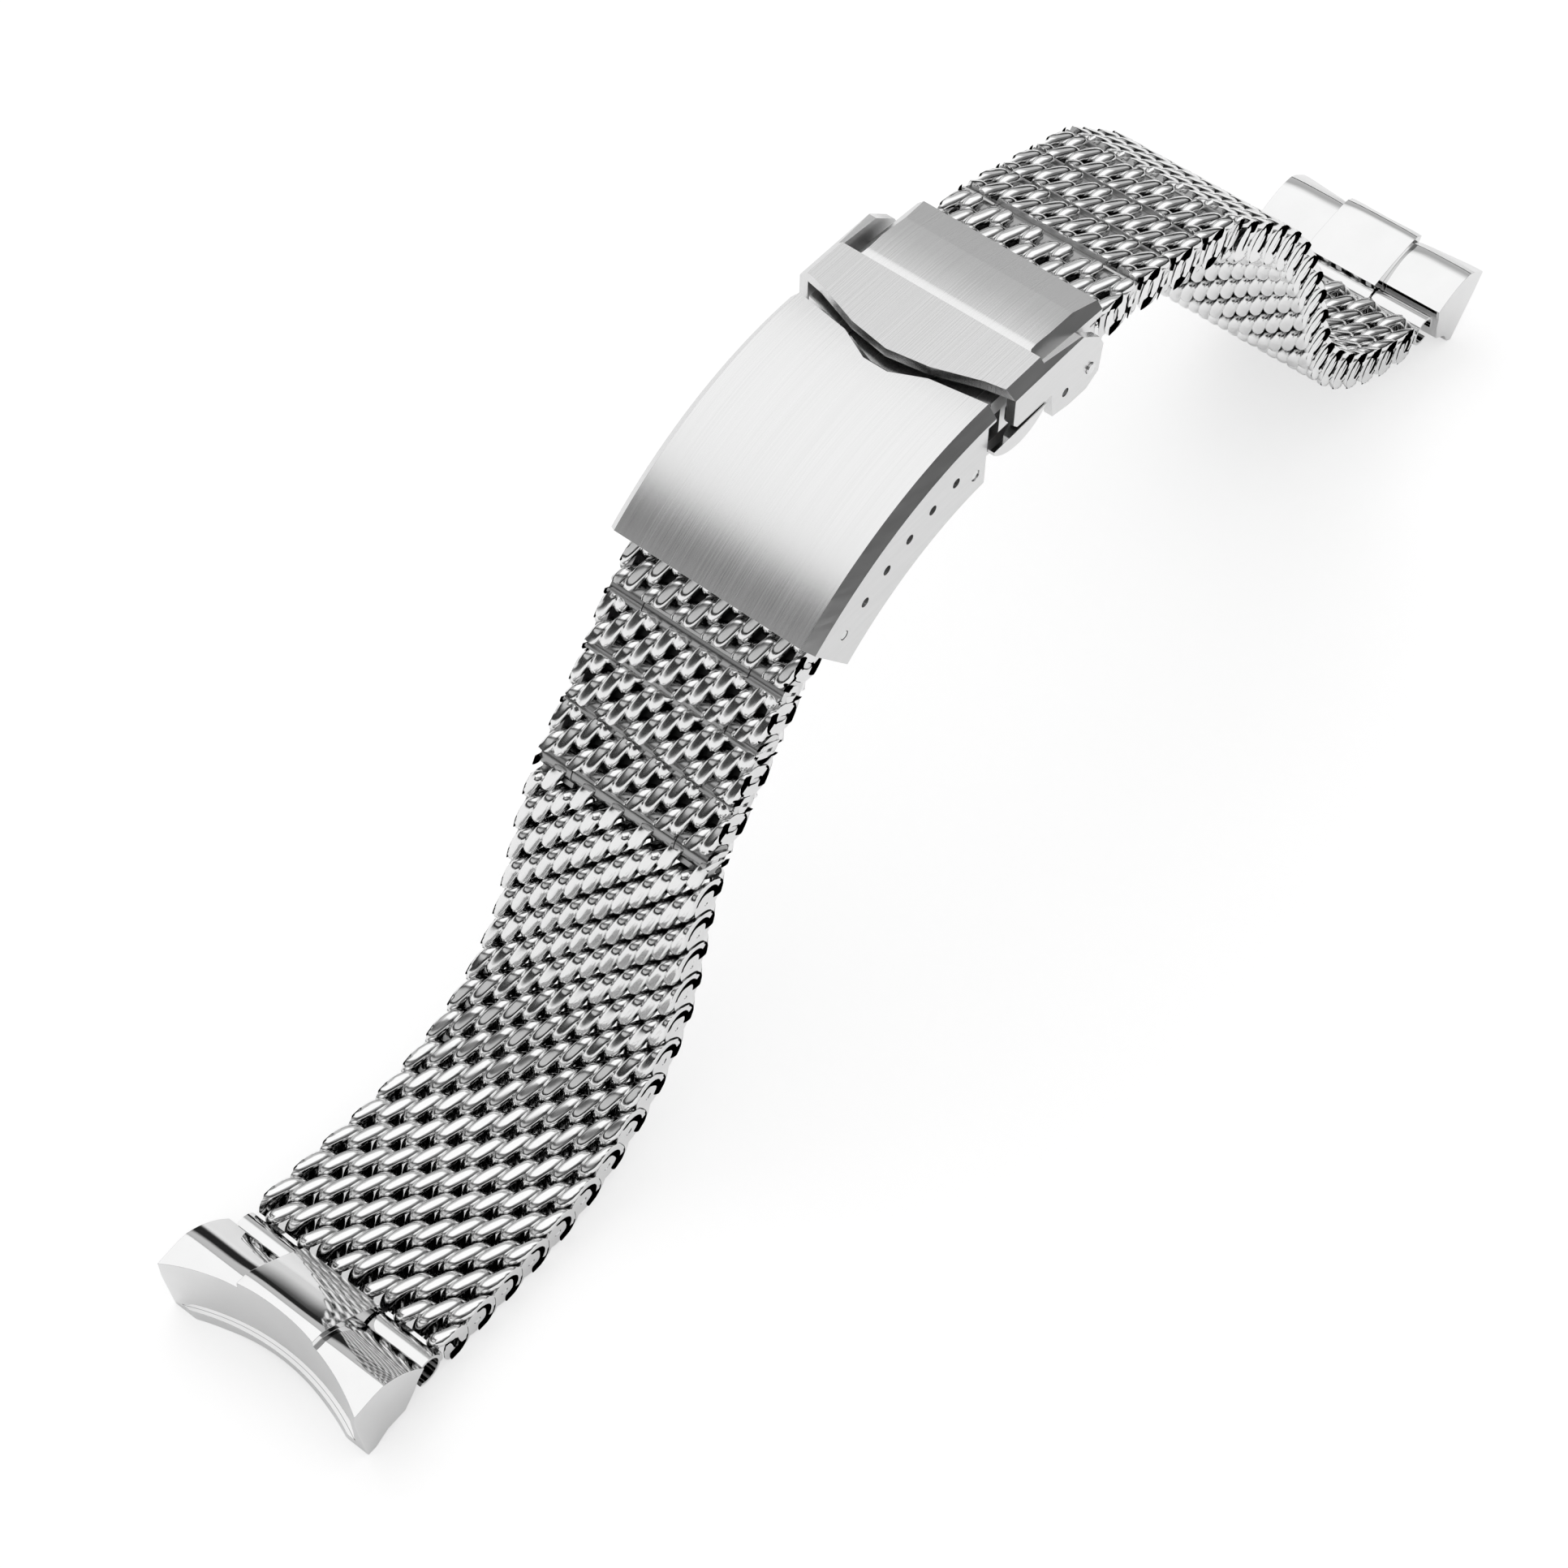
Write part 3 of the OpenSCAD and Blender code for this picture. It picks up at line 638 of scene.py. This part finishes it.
def lug_link(name, p, angle, sign):
    """Three lobes side by side, lofted across the band; sign turns the case's side outward."""
    matrix = side_frame(p, angle) @ Matrix.Diagonal((sign, 1, 1, 1))
    bm = bmesh.new()
    rings = []
    for y0, y1, crest, underside in ((-LUG_HALF, -LOBE_HALF, CREST, UNDERSIDE),
                                     (-LOBE_HALF, LOBE_HALF, LOBE_CREST, LOBE_UNDERSIDE),
                                     (LOBE_HALF, LUG_HALF, CREST, UNDERSIDE)):
        top = rounded(crest)
        for c in range(LOBE_STEPS + 1):
            f = c / LOBE_STEPS
            y = y0 + (y1 - y0) * f
            line = lug_column(y, crest, top, CROWN * (2 * f - 1) ** 4, underside)
            rings.append([bm.verts.new(matrix @ Vector((x, y, v)) * MM) for x, v in line])
    for a, b in zip(rings, rings[1:]):
        count = len(a)
        for k in range(count):
            n = (k + 1) % count
            bm.faces.new((a[k], a[n], b[n], b[k]))
    bm.faces.new(rings[0][::-1])
    bm.faces.new(rings[-1])
    bmesh.ops.remove_doubles(bm, verts=bm.verts, dist=0.001 * MM)
    tube(bm, matrix, 0, -LOBE_HALF, LOBE_HALF, LUG_TUBE, LUG_BORE)
    for face in bm.faces:
        face.material_index = 0
    bmesh.ops.recalc_face_normals(bm, faces=bm.faces)
    mesh = mesh_from(bm, name)
    smooth(mesh, angle=30)
    o = add_object(name + "_form", mesh, polished, name, [name])
    ease_edges(o, 0.07, segments=2, angle=40)


lug_link("near_end_link", near_start, 0, -1)
lug_link("far_end_link", P["end"], -math.degrees(tilt), 1)

# CAD nodes that no piece replaces: pins, bars, springs, ferrules and the knuckles beside the mesh
for name, o in nodes.items():
    if not o.hide_render:
        o.data.materials.clear()
        # The knuckles beside the mesh take the painted-shade tube steel
        o.data.materials.append(tube_painted_shade if "knuckles" in name else polished)

# Studio: pale floor, soft lamps and a grey surround for the reflections; lengths in metres
FLOOR = 3
floor_mesh = bpy.data.meshes.new("floor")
floor_corners = [(-FLOOR, -FLOOR, 0), (FLOOR, -FLOOR, 0), (FLOOR, FLOOR, 0), (-FLOOR, FLOOR, 0)]
floor_mesh.from_pydata(floor_corners, [], [(0, 1, 2, 3)])
floor = bpy.data.objects.new("floor", floor_mesh)
bpy.context.scene.collection.objects.link(floor)
m, n, link, shader = new_material("pale_floor")
shader.inputs["Base Color"].default_value = grey(0.95)
shader.inputs["Roughness"].default_value = 0.9
# The camera sees a paler floor with softer shadows
seen = n.new("ShaderNodeBsdfDiffuse")
seen.inputs["Color"].default_value = grey(0.48)
glow = n.new("ShaderNodeEmission")
glow.inputs["Strength"].default_value = 0.585
paler = n.new("ShaderNodeAddShader")
link.new(seen.outputs[0], paler.inputs[0])
link.new(glow.outputs[0], paler.inputs[1])
floor_shader = switch(n, link, "Is Camera Ray", shader, paler)
link.new(floor_shader.outputs[0], next(x for x in n if x.type == "OUTPUT_MATERIAL").inputs[0])
floor_mesh.materials.append(m)


def lamp(name, place, target, size, power):
    """A soft square lamp; reflections show the surround in its stead."""
    data = bpy.data.lights.new(name, "AREA")
    data.energy = power
    data.size = size
    o = bpy.data.objects.new(name, data)
    bpy.context.scene.collection.objects.link(o)
    o.location = place
    o.rotation_euler = (Vector(target) - Vector(place)).to_track_quat("-Z", "Y").to_euler()
    o.visible_glossy = False


middle = (0, 0, 0.03)
lamp("key", (0.2, 0.45, 0.75), middle, size=0.6, power=1.1)
lamp("fill", (-0.75, 0.1, 0.55), middle, size=0.5, power=0.3)

world = bpy.data.worlds.new("studio")
bpy.context.scene.world = world
world.use_nodes = True
wn = world.node_tree.nodes
wl = world.node_tree.links
wn.clear()


def math_node(kind, *values):
    node = wn.new("ShaderNodeMath")
    node.operation = kind
    for i, v in enumerate(values):
        wl.new(v, node.inputs[i])
    return node.outputs[0]


def grey_ramp(value, stops):
    """A grey level for a value, from [value, level] stops."""
    low, high = stops[0][0], stops[-1][0]
    spread = wn.new("ShaderNodeMapRange")
    spread.inputs["From Min"].default_value = low
    spread.inputs["From Max"].default_value = high
    wl.new(value, spread.inputs["Value"])
    ramp = wn.new("ShaderNodeValToRGB")
    wl.new(spread.outputs[0], ramp.inputs[0])
    elements = ramp.color_ramp.elements
    while len(elements) < len(stops):
        elements.new(0.5)
    for e, (at, level) in zip(elements, stops):
        e.position = (at - low) / (high - low)
        e.color = grey(level)
    return ramp.outputs[0]


def background(strength=1):
    node = wn.new("ShaderNodeBackground")
    node.inputs[0].default_value = grey(1)
    node.inputs[1].default_value = strength
    return node


# Gloss sees a softbox overhead, a dark gap round the horizon, and a dark bar behind the near strand
place = wn.new("ShaderNodeTexCoord")
split = wn.new("ShaderNodeSeparateXYZ")
wl.new(place.outputs["Generated"], split.inputs[0])
height = grey_ramp(math_node("ARCSINE", split.outputs[2]), [
    [-0.6, 0.9], [0.02, 0.75], [0.08, 0.10], [0.12, 0.02], [0.29, 0.02], [0.34, 0.60],
    [0.55, 0.55], [0.70, 0.48], [0.80, 0.95], [0.88, 1.12], [1.6, 1.15]])
lean = math_node("ARCTAN2", split.outputs[0], split.outputs[2])
lean_angle = grey_ramp(lean, [
    [-1.6, 1.0], [-0.88, 1.0], [-0.80, 0.18], [-0.62, 0.18], [-0.50, 0.95], [1.6, 1.0]])
across = math_node("ARCTAN2", split.outputs[1], split.outputs[2])
across_angle = grey_ramp(across, [
    [-1.6, 0.15], [-1.1, 0.25], [-0.55, 0.35], [-0.25, 1.0], [1.6, 1.0]])
tone = math_node("MULTIPLY", math_node("MULTIPLY", height, lean_angle), across_angle)
plain = background(0.86)
studio = background()
wl.new(tone, studio.inputs[1])
white = background()
glossy = switch(wn, wl, "Is Glossy Ray", plain, studio)
direct = switch(wn, wl, "Is Camera Ray", glossy, white)
out = wn.new("ShaderNodeOutputWorld")
wl.new(direct.outputs[0], out.inputs[0])

# Camera, at the photograph's place
right = Vector((0.62807, -0.77792, 0.01905))
up = Vector((0.61567, 0.51174, 0.59922))
ahead = Vector((0.47590, 0.36462, -0.80035))
eye = Vector((-90.817 + near_start[0], -114.590, 264.308)) * MM
cam_data = bpy.data.cameras.new("camera")
cam_data.lens = 82.1
cam_data.sensor_width = 36
cam = bpy.data.objects.new("camera", cam_data)
bpy.context.scene.collection.objects.link(cam)
turn = Matrix((right, up, -ahead)).transposed().to_4x4()
turn.translation = eye
cam.matrix_world = turn
cam_data.clip_start = 0.01
bpy.context.scene.camera = cam
bpy.context.scene.view_settings.view_transform = "Standard"
